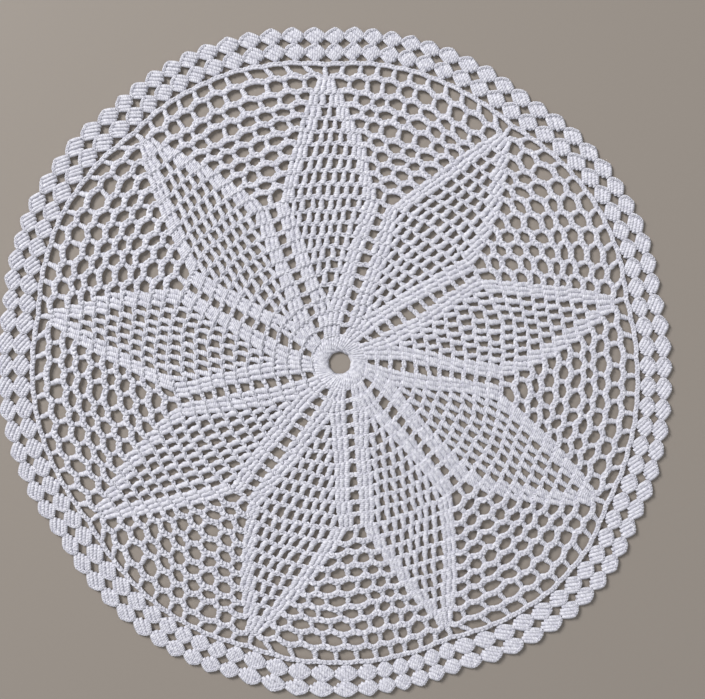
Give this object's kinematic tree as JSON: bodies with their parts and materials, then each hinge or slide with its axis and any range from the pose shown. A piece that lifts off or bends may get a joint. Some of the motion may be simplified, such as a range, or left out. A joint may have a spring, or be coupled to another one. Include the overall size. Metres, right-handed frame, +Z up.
{
  "type": "lace doily",
  "caption": "Round crocheted cotton lace doily, lying flat: padded centre ring, filet petals, open ground net between them and a scalloped border of small blocks.",
  "frame": {"origin": "on the surface that the doily lies on, under the middle of its outline's box", "axes": "+Z up through the cloth; +Y away from the viewer and +X to the right as it is seen from above, with petals at about 13, 54, 93, 131, 171, 212, 252, 292 and 332 degrees anticlockwise from +X"},
  "size_m": [0.3218, 0.3198, 0.0026],
  "materials": {
    "cotton_thread": "matt white mercerised cotton thread"
  },
  "bodies": {
    "root": {"doily": "cotton_thread"}
  },
  "joints": []
}
